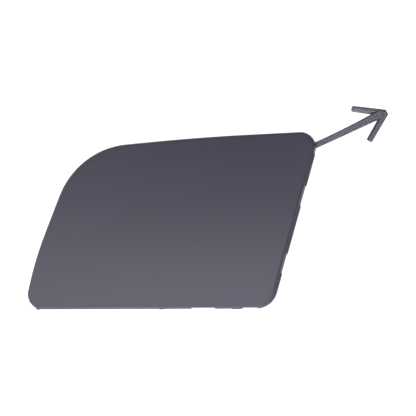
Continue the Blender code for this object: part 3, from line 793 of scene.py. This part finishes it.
def clip_grids(outline, place, width):
    """A spring arm with a catch and a lead-in, and the webs behind it: profiles carried along a side."""
    fix = sizes("fixings")
    root = skin_middle(outline, place, fix.collar_inset)
    outer = fix.collar_inset - fix.clip_proud
    inner = outer + fix.clip_wall
    catch = outer - fix.clip_catch
    half_skin = sizes("shell").skin / 2
    shoulder = root + half_skin + fix.root_fillet
    arm = softened(
        [
            (inner + fix.root_fillet, root),
            (outer - fix.root_fillet, root),
            (outer, shoulder),
            (outer, fix.grip),
            (catch, fix.grip),
            (catch, fix.grip + fix.clip_land),
            (inner - CLIP_NOSE, fix.clip_reach),
            (inner, fix.clip_reach),
            (inner, shoulder),
        ],
        CLIP_RADII,
    )
    back = skin_middle(outline, place, fix.collar_inset + fix.clip_wall)
    start, foot = fix.collar_inset + fix.clip_wall / 2, fix.collar_inset + fix.clip_wall + fix.gusset_spread
    rise = back + half_skin + CLIP_WEB_FOOT
    web = softened([(start, back), (foot, back), (foot, rise), (start, fix.rib_top)], SMALL_EDGE)
    return [(side_bar(place, arm, width), False)] + webs(place, web)


def hook_grids(place):
    """A rigid ledge on the collar with rounded lips, and the webs behind it: profiles along a side."""
    fix = sizes("fixings")
    wall = fix.collar_inset + fix.collar_wall / 2
    tip = fix.collar_inset - fix.hook_overhang
    front, back = fix.grip, fix.grip + fix.hook_thickness
    ledge = softened([(wall, front), (tip, front), (tip, back), (wall, back)], HOOK_RADII, steps=MEDIUM_ARC)
    middle, nose = (front + back) / 2, tip + HOOK_WEB_SETBACK
    step, top = middle + HOOK_WEB_NOSE, fix.collar_reach - HOOK_WEB_DROP
    web = softened(
        [(wall, middle), (nose, middle), (nose, step), (fix.collar_inset, top), (wall, top)], HOOK_WEB_EDGE
    )
    return [(side_bar(place, ledge, fix.hook_width), False)] + webs(place, web)


def rib_grid(outline, start, end, top):
    """A web with draft on the skin, with flared roots: its section carried along a straight line."""
    shell, fix = sizes("shell"), sizes("fixings")
    half = fix.rib_wall / 2
    profile = wall_profile(-half, half, top, SMALL_EDGE, fix.root_fillet, shell.skin, shell.skin / 2)
    on_top = profile[:, 1] == 0.0
    profile[on_top, 0] *= RIB_TOP_SHARE
    run = end - start
    stations = np.linspace(0.0, 1.0, max(int(np.linalg.norm(run) / RIB_STEP), 2) + 1)
    beside = left_of(run / np.linalg.norm(run))
    flat = start + stations[:, None, None] * run + profile[None, :, :1] * beside
    return in_space(flat, profile[None, :, 1] * outline.depth(flat) + profile[None, :, 2]), False


def rib_grids(outline):
    """Upright ribs parallel to the right side, and level ones across them, from wall to wall."""
    fix = sizes("fixings")
    inset = fix.collar_inset + fix.collar_wall / 2
    slant = heading(sizes("outline").right_slope)
    grids = []
    for number_along in range(UPRIGHT_RIBS):
        point = np.array([fix.first_rib_x + number_along * fix.rib_spacing, outline.corners[BOTTOM][1]])
        grids.append(rib_grid(outline, *outline.chord(point, slant, inset), fix.rib_top))
    for height in LEVEL_RIBS:
        ends = outline.chord(np.array([outline.centre[0], height]), heading(0.0), inset)
        grids.append(rib_grid(outline, *ends, fix.rib_top - LEVEL_RIB_DROP))
    return grids


def mark_grid(outline, place, radii, heights):
    """A turned mark on the skin: rings with their radii and heights over the skin, all in millimetres."""
    spokes = round_headings(MARK_SPOKES)
    flat = (np.array(place) + np.array(radii)[:, None, None] * spokes) * MM
    depths = outline.depth(flat) + sizes("shell").skin + np.array(heights)[:, None] * MM
    return in_space(flat, depths), False


def tether_path(distance):
    """Centre of the strap and its bearing at distances from the right side.

    The bearing grows evenly; the centre is start + distance * heading(mean bearing so far).
    """
    plan = sizes("tether")
    outline = PlateOutline()
    start = outline.corners[TOP_RIGHT] - plan.tether_exit * heading(sizes("outline").right_slope)
    bearing = plan.slope + plan.bend * distance / plan.reach
    mean = (plan.slope + bearing) / 2
    return start + np.asarray(distance)[..., None] * heading(mean), bearing


def twisted(points):
    """Points of the tether turned about its axis, by the twist times a share.

    With a above the axis and d behind it, the point goes to a * cos + d * sin and d * cos - a * sin. The
    share grows from 0 at the collar to 1 where the strap leaves the plate.
    """
    plan = sizes("tether")
    (start, end), _ = tether_path(np.array([0.0, plan.reach]))
    ahead = (end - start) / np.linalg.norm(end - start)
    flat = points[..., [0, 2]] - start
    along, above = flat @ ahead, flat @ left_of(ahead)
    middle = plan.gap + plan.thickness / 2
    behind = points[..., 1] - middle
    turn = plan.twist * np.clip(1 + along / TWIST_RUN, 0.0, 1.0)
    lifted = above * np.cos(turn) + behind * np.sin(turn)
    flat = start + along[..., None] * ahead + lifted[..., None] * left_of(ahead)
    return in_space(flat, middle + behind * np.cos(turn) - above * np.sin(turn))


def chamfered(half, front, back, left, right, rear, slant=1.0):
    """Corners of a bar's cross-section as (sideways, depth), with its four edges chamfered.

    The left chamfer's depth is the slant times its width; the others are as deep as they are wide.
    """
    return [
        (-half, back - rear),
        (-half, front + right),
        (-half + right, front),
        (half - left, front),
        (half, front + slant * left),
        (half, back - rear),
        (half - rear, back),
        (-half + rear, back),
    ]


def section_bar(points, bearings, section, widths, draws):
    """A section carried along a path: sideways is across the path, widened by a factor at each place."""
    drawn = drawn_in(section, draws)
    across = heading(bearings + math.pi / 2)
    flat = points[:, None, :] + (drawn[..., 0] * widths[:, None])[..., None] * across[:, None, :]
    return in_space(flat, drawn[..., 1])


def strap_grid():
    """The strap: a chamfered section carried along the tether's path, flared at its root and in the head.

    Its width is the first + (the head's - the first) * share^2, plus the root's flare * (1 - run)^2 and
    the head's flare * run^2, where share is the place's share of the reach and each run goes 0 to 1.
    """
    plan, fix = sizes("tether"), sizes("fixings")
    front, back = plan.gap, plan.gap + plan.thickness
    lean = sizes("outline").right_slope - math.pi / 2 - plan.slope
    root = -(fix.collar_inset + fix.collar_wall / 2) / math.cos(lean)
    distances = np.linspace(root, plan.reach - plan.end_setback, STRAP_ROWS)
    share = np.clip(distances, 0.0, None) / plan.reach
    root_run = np.clip((distances - root) / ROOT_FLARE_RUN, 0.0, 1.0)
    head_run = np.clip((share - HEAD_FLARE_START) / HEAD_FLARE_RUN, 0.0, 1.0)
    widths = plan.strap_width + (plan.head_width - plan.strap_width) * share**2
    widths = widths + (plan.root_width - plan.strap_width) * (1 - root_run) ** 2
    widths = widths + plan.head_flare * head_run**2
    half, chamfer = plan.head_width / 2, plan.strap_chamfer
    section = softened(chamfered(half, front, back, chamfer, chamfer, TETHER_EDGE), TETHER_EDGE)
    points, bearings = tether_path(distances)
    return section_bar(points, bearings, section, widths / plan.head_width, np.zeros(len(distances))), False


def arrowhead():
    """Where the barbs' middles cross, a little beside the strap's end, and the arrowhead's bearing."""
    plan = sizes("tether")
    end, bearing = tether_path(np.array(plan.reach))
    return end + plan.head_shift * left_of(heading(bearing)), float(bearing) + plan.head_lean


def barb_grid(side, reach, end_round):
    """One barb: a section with a broad chamfer towards the strap, tapered and rounded at its end."""
    plan = sizes("tether")
    middle, axis = arrowhead()
    back = plan.gap + plan.thickness - BARB_SETBACK
    front = back - plan.barb_thickness
    bearing = axis + math.pi - side * plan.barb_angle
    short, draw = rounding(end_round, MEDIUM_ARC)
    distances = np.concatenate([np.linspace(0.0, reach - end_round, BARB_ROWS), reach - short[1:]])
    draws = np.concatenate([np.zeros(BARB_ROWS), draw[1:]])
    widths = 1 + (plan.barb_end_width / plan.barb_width - 1) * distances / reach
    chamfers = (TETHER_EDGE, plan.lower_chamfer, TETHER_EDGE)
    if side > 0:
        chamfers = (plan.upper_chamfer, TETHER_EDGE, TETHER_EDGE, plan.upper_slant)
    section = softened(chamfered(plan.barb_width / 2, front, back, *chamfers), BARB_EDGE)
    points = middle + distances[:, None] * heading(bearing)
    return section_bar(points, np.full(len(distances), bearing), section, widths, draws), False


def nose_grid():
    """The blunt nose: the barbs' outer sides run on to a short flat across its front.

    A rounded hexagon of (along, across) the arrowhead, drawn in by a quarter circle at both of its depths.
    """
    plan = sizes("tether")
    middle, axis = arrowhead()
    half = plan.barb_width / 2 - NOSE_STEP
    shoulder = half / math.cos(plan.barb_angle)
    flat = (half - plan.nose_reach * math.sin(plan.barb_angle)) / math.cos(plan.barb_angle)
    corners = [
        (-plan.nose_depth, -shoulder),
        (0.0, -shoulder),
        (plan.nose_reach, -flat),
        (plan.nose_reach, flat),
        (0.0, shoulder),
        (-plan.nose_depth, shoulder),
    ]
    front, back = plan.gap + TETHER_EDGE, plan.gap + plan.thickness + NOSE_STEP
    depths, draws = soft_ends(front, back, NOSE_EDGE, 1)
    loop = drawn_in(softened(corners, NOSE_CORNER, steps=MEDIUM_ARC), draws)
    ahead = heading(axis)
    return in_space(middle + loop[..., :1] * ahead + loop[..., 1:] * left_of(ahead), depths[:, None]), False


class Signal:
    """A node's output that takes part in Python arithmetic; an expression adds its Math nodes."""

    def __init__(self, sheet, socket):
        self.sheet = sheet
        self.socket = socket

    def __add__(self, other):
        return self.sheet.math("ADD", self, other)

    def __sub__(self, other):
        return self.sheet.math("SUBTRACT", self, other)

    def __rsub__(self, other):
        return self.sheet.math("SUBTRACT", other, self)

    def __mul__(self, other):
        return self.sheet.math("MULTIPLY", self, other)

    __radd__ = __add__
    __rmul__ = __mul__


class NodeSheet:
    """A node tree that is written as expressions."""

    def __init__(self, tree):
        self.tree = tree
        self.tree.nodes.clear()

    def node(self, kind, settings=None, values=None):
        """A new node: its settings are set first, then its sockets' values or links by name or number."""
        made = self.tree.nodes.new(kind)
        for key, value in (settings or {}).items():
            setattr(made, key, value)
        for key, value in (values or {}).items():
            if isinstance(value, Signal):
                self.tree.links.new(value.socket, made.inputs[key])
            else:
                made.inputs[key].default_value = value
        return made

    def signal(self, kind, settings=None, values=None, output=0):
        """One output of a new node."""
        return Signal(self, self.node(kind, settings, values).outputs[output])

    def math(self, operation, first, second):
        """A Math node on two numbers or signals."""
        return self.signal("ShaderNodeMath", {"operation": operation}, {0: first, 1: second})

    def mixed_colour(self, factor, first, second):
        """A Mix node on two colours."""
        return self.signal("ShaderNodeMix", {"data_type": "RGBA"}, {0: factor, 6: first, 7: second}, 2)

    def noise(self, vector, scale, detail=2.0):
        """A Noise Texture's value about 0, between about -0.5 and 0.5."""
        values = {"Vector": vector, "Scale": scale, "Detail": detail}
        return self.signal("ShaderNodeTexNoise", {}, values) - 0.5


def new_material(name):
    """A new material, and the empty sheet of its nodes."""
    material = bpy.data.materials.new(name)
    material.use_nodes = True
    return material, NodeSheet(material.node_tree)


def moulded_plastic():
    """Dark moulded plastic: its tone drifts, the visible side has a fine grain, and the back is sleeker.

    Tone: the colour darkened or lightened by a slow noise and a faint flow pattern. Roughness: the
    visible side's or the back's value plus a slow and a fine noise. Bump: two fine noises, deep on the
    visible side and shallow on the back.
    """
    name = "moulded_plastic"
    if name in bpy.data.materials:
        return bpy.data.materials[name]
    finish = sizes("finish")
    material, sheet = new_material(name)
    place = sheet.signal("ShaderNodeTexCoord", output="Object")
    visible = sheet.signal("ShaderNodeAttribute", {"attribute_name": "visible_side"}, output="Fac")
    slow = sheet.noise(place, SLOW_SCALE, 3.0)
    values = {"Vector": place, "Scale": FLOW_STRETCH}
    stretched = sheet.signal("ShaderNodeMapping", {"vector_type": "POINT"}, values)
    flow = sheet.noise(stretched, FLOW_SCALE, 3.0)
    fine = sheet.noise(place, FINE_SCALE)
    grain = sheet.noise(place, GRAIN_SCALE, 3.0)
    tone = 0.5 + slow * 1.1 + flow * 0.7 + fine * 0.5
    base = np.array(finish.plastic_colour)
    darker = (*(base * (1 - finish.tone_variation)), 1.0)
    lighter = (*np.minimum(base * (1 + finish.tone_variation), 1.0), 1.0)
    shade = sheet.mixed_colour(tone, darker, lighter)
    rough = finish.back_roughness + visible * (finish.face_roughness - finish.back_roughness)
    rough = rough + slow * 0.05 + flow * 0.03 + fine * 0.06
    relief = (grain * 0.7 + fine * 0.5) * (BACK_GRAIN + visible * (1 - BACK_GRAIN))
    values = {"Strength": 1.0, "Distance": finish.grain_depth, "Height": relief}
    bump = sheet.signal("ShaderNodeBump", {}, values)
    values = {"Base Color": shade, "Roughness": rough, "Metallic": 0.0, "IOR": 1.5, "Normal": bump}
    shader = sheet.signal("ShaderNodeBsdfPrincipled", {}, values)
    sheet.node("ShaderNodeOutputMaterial", {}, {"Surface": shader})
    return material


def backdrop_material():
    """The pale backdrop: a soft glow with painted shade under the cover, a little dimmer there, and even
    white further out.

    Its glow goes smoothly from the painted shade's tone to white between two distances from the cover.
    """
    studio = sizes("studio")
    material, sheet = new_material("pale_backdrop")
    place = sheet.signal("ShaderNodeTexCoord", output="Object")
    distance = sheet.signal("ShaderNodeVectorMath", {"operation": "LENGTH"}, {0: place}, output="Value")
    far = sheet.signal(
        "ShaderNodeMapRange",
        {"interpolation_type": "SMOOTHSTEP", "clamp": True},
        {"Value": distance, "From Min": GLOW_NEAR, "From Max": GLOW_FAR, "To Min": 0.0, "To Max": 1.0},
    )
    speckle = sheet.noise(place, SPECKLE_SCALE) * SPECKLE_DEPTH
    # Painted shade under the cover: the glow goes from the dimmer floor tone near the cover to white further
    # out.
    glow = sheet.mixed_colour(far + speckle, (*studio.floor_shade_tone, 1.0), (1.0, 1.0, 1.0, 1.0))
    values = {
        "Base Color": (*studio.floor_colour, 1.0),
        "Roughness": 0.9,
        "Specular IOR Level": 0.1,
        "Emission Color": glow,
        "Emission Strength": studio.backdrop_glow,
    }
    shader = sheet.signal("ShaderNodeBsdfPrincipled", {}, values)
    sheet.node("ShaderNodeOutputMaterial", {}, {"Surface": shader})
    return material


def studio_backdrop():
    """Floor, cove and dome in one sheet: a level line, a quarter circle and a quarter ellipse turned round.

    It is there for the camera alone. The light on the cover comes from the surroundings and soft boxes.
    """
    studio = sizes("studio")
    floor, cove = FLOOR_RADIUS, COVE_RADIUS
    angles = quarter(BACKDROP_ARC)[1:]
    radii = np.concatenate(
        [np.linspace(0, floor, FLOOR_ROWS), floor + cove * np.sin(angles), (floor + cove) * np.cos(angles)]
    )
    heights = np.concatenate(
        [np.zeros(FLOOR_ROWS), cove * (1 - np.cos(angles)), cove + DOME_RISE * np.sin(angles)]
    )
    spokes = round_headings(BACKDROP_SPOKES)
    points = np.empty((len(radii), BACKDROP_SPOKES, 3))
    points[..., :2] = radii[:, None, None] * spokes
    points[..., 2] = studio.floor_height + heights[:, None]
    backdrop = new_piece("studio_backdrop", [(points, False)])
    backdrop.data.materials.append(backdrop_material())
    for ray in ("diffuse", "glossy", "transmission", "shadow"):
        setattr(backdrop, "visible_" + ray, False)


def aimed(location, target):
    """Rotation that turns an object's -Z from a place towards a target, with its Y upwards."""
    return (Vector(target) - Vector(location)).to_track_quat("-Z", "Y").to_euler()


def soft_box(name, location, target, width, height, power, beam=180.0):
    """A rectangular soft box of white light, out of the camera's sight."""
    lamp = bpy.data.lights.new(name, "AREA")
    lamp.spread = math.radians(beam)
    lamp.shape = "RECTANGLE"
    lamp.size = width
    lamp.size_y = height
    lamp.energy = power
    light = bpy.data.objects.new(name, lamp)
    light.location = location
    light.rotation_euler = aimed(location, target)
    light.visible_camera = False
    bpy.context.scene.collection.objects.link(light)


def studio_world():
    """Surroundings of a few broad soft lights: each is strength * e^(sharpness * (cosine to it - 1))."""
    world = bpy.data.worlds.new("studio_world")
    world.use_nodes = True
    bpy.context.scene.world = world
    sheet = NodeSheet(world.node_tree)
    direction = sheet.signal("ShaderNodeTexCoord", output="Generated")
    level = 0.0
    for towards, strength in BROAD_LIGHTS:
        unit = np.array(towards) / np.linalg.norm(towards)
        values = {0: direction, 1: tuple(unit)}
        cosine = sheet.signal("ShaderNodeVectorMath", {"operation": "DOT_PRODUCT"}, values, output="Value")
        level = level + sheet.math("POWER", math.e, (cosine - 1.0) * BROAD_LIGHT_SHARPNESS) * strength
    values = {"Color": (1.0, 1.0, 1.0, 1.0), "Strength": level}
    background = sheet.signal("ShaderNodeBackground", {}, values)
    sheet.node("ShaderNodeOutputWorld", {}, {"Surface": background})


def studio_camera():
    """The camera at the photograph's angle."""
    studio = sizes("studio")
    azimuth, elevation = studio.azimuth, studio.elevation
    level = math.cos(elevation)
    back = np.array([math.sin(azimuth) * level, -math.cos(azimuth) * level, math.sin(elevation)])
    aim = np.array(studio.aim)
    lens = bpy.data.cameras.new("camera")
    lens.lens = studio.lens
    lens.sensor_width = 36.0
    lens.clip_start = 0.01
    lens.clip_end = 20.0
    camera = bpy.data.objects.new("camera", lens)
    camera.location = aim + studio.distance * back
    camera.rotation_euler = aimed(camera.location, aim)
    bpy.context.scene.collection.objects.link(camera)
    bpy.context.scene.camera = camera


class CoverOperator:
    """What the cover's operators share."""

    bl_options = {"REGISTER", "UNDO"}

    def add_piece(self, outline, name, grids):
        """Adds one finished piece of the moulding from its grids."""
        finish_piece(outline, new_piece(name, grids))
        return {"FINISHED"}


class COVER_OT_plate(CoverOperator, bpy.types.Operator):
    """Add the crowned plate with its rounded edge and rim"""

    bl_idname = "cover.plate"
    bl_label = "Cover plate"

    def execute(self, context):
        outline = PlateOutline()
        return self.add_piece(outline, "cover_plate", [(plate_grid(outline), False)])


class COVER_OT_flange(CoverOperator, bpy.types.Operator):
    """Add the low flange along the rim, with its gaps and centring pads"""

    bl_idname = "cover.flange"
    bl_label = "Rim flange"

    def execute(self, context):
        outline = PlateOutline()
        grids = flange_grids(outline) + [pad_grid(outline, *where) for where in PADS]
        return self.add_piece(outline, "rim_flange", grids)


class COVER_OT_collar(CoverOperator, bpy.types.Operator):
    """Add the locating collar on the back"""

    bl_idname = "cover.collar"
    bl_label = "Locating collar"

    def execute(self, context):
        outline = PlateOutline()
        return self.add_piece(outline, "locating_collar", collar_grids(outline))


class COVER_OT_clips(CoverOperator, bpy.types.Operator):
    """Add the spring clips"""

    bl_idname = "cover.clips"
    bl_label = "Spring clips"

    def execute(self, context):
        outline = PlateOutline()
        grids = []
        for side, share, width in CLIPS:
            grids += clip_grids(outline, outline.place(side, share), width)
        return self.add_piece(outline, "spring_clips", grids)


class COVER_OT_hooks(CoverOperator, bpy.types.Operator):
    """Add the rigid hooks opposite the clips"""

    bl_idname = "cover.hooks"
    bl_label = "Rigid hooks"

    def execute(self, context):
        outline = PlateOutline()
        grids = []
        for side, share in HOOKS:
            grids += hook_grids(outline.place(side, share))
        return self.add_piece(outline, "rigid_hooks", grids)


class COVER_OT_ribs(CoverOperator, bpy.types.Operator):
    """Add the stiffening ribs inside the collar"""

    bl_idname = "cover.ribs"
    bl_label = "Stiffening ribs"

    def execute(self, context):
        outline = PlateOutline()
        return self.add_piece(outline, "stiffening_ribs", rib_grids(outline))


class COVER_OT_marks(CoverOperator, bpy.types.Operator):
    """Add the ejector pins' marks and the gate's stub on the back"""

    bl_idname = "cover.marks"
    bl_label = "Moulding marks"

    def execute(self, context):
        outline = PlateOutline()
        places = [(across, height) for height, row in EJECTOR_ROWS for across in row]
        grids = [mark_grid(outline, place, EJECTOR_RADII, EJECTOR_HEIGHTS) for place in places]
        grids.append(mark_grid(outline, GATE_PLACE, GATE_RADII, GATE_HEIGHTS))
        return self.add_piece(outline, "moulding_marks", grids)


class COVER_OT_tether(CoverOperator, bpy.types.Operator):
    """Add the strap with its arrowhead"""

    bl_idname = "cover.tether"
    bl_label = "Tether"

    def execute(self, context):
        outline = PlateOutline()
        plan = sizes("tether")
        upper = barb_grid(+1, plan.upper_barb, UPPER_BARB_ROUND)
        lower = barb_grid(-1, plan.lower_barb, LOWER_BARB_ROUND)
        grids = [(twisted(points), looped) for points, looped in (strap_grid(), upper, lower, nose_grid())]
        return self.add_piece(outline, "tether", grids)


class COVER_OT_studio(CoverOperator, bpy.types.Operator):
    """Add the pale backdrop, the lights and the camera"""

    bl_idname = "cover.studio"
    bl_label = "Studio"

    def execute(self, context):
        bpy.context.scene.view_settings.view_transform = "Standard"
        studio_world()
        studio_backdrop()
        for box in SOFT_BOXES:
            soft_box(*box)
        studio_camera()
        return {"FINISHED"}


OPERATORS = (
    COVER_OT_plate,
    COVER_OT_flange,
    COVER_OT_collar,
    COVER_OT_clips,
    COVER_OT_hooks,
    COVER_OT_ribs,
    COVER_OT_marks,
    COVER_OT_tether,
    COVER_OT_studio,
)
GROUPS = {
    "outline": OutlineSizes,
    "shell": ShellSizes,
    "fixings": FixingSizes,
    "tether": TetherSizes,
    "finish": FinishSettings,
    "studio": StudioSettings,
}


class COVER_PT_sidebar(bpy.types.Panel):
    """The cover's sizes and the operators that add its pieces"""

    bl_idname = "COVER_PT_sidebar"
    bl_label = "Tow Hook Cover"
    bl_space_type = "VIEW_3D"
    bl_region_type = "UI"
    bl_category = "Tow Hook Cover"

    def draw(self, context):
        for operator in OPERATORS:
            self.layout.operator(operator.bl_idname)
        for group, kind in GROUPS.items():
            box = self.layout.box()
            box.label(text=group.capitalize())
            for key in kind.__annotations__:
                box.prop(sizes(group), key)


def register():
    for kind in (*GROUPS.values(), *OPERATORS, COVER_PT_sidebar):
        bpy.utils.register_class(kind)
    for group, kind in GROUPS.items():
        setattr(bpy.types.Scene, "tow_hook_cover_" + group, bpy.props.PointerProperty(type=kind))


def unregister():
    for group in GROUPS:
        delattr(bpy.types.Scene, "tow_hook_cover_" + group)
    for kind in (COVER_PT_sidebar, *reversed(OPERATORS), *reversed(GROUPS.values())):
        bpy.utils.unregister_class(kind)


def main():
    register()
    bpy.ops.cover.plate()
    bpy.ops.cover.flange()
    bpy.ops.cover.collar()
    bpy.ops.cover.clips()
    bpy.ops.cover.hooks()
    bpy.ops.cover.ribs()
    bpy.ops.cover.marks()
    bpy.ops.cover.tether()
    bpy.ops.cover.studio()


if __name__ == "__main__":
    main()
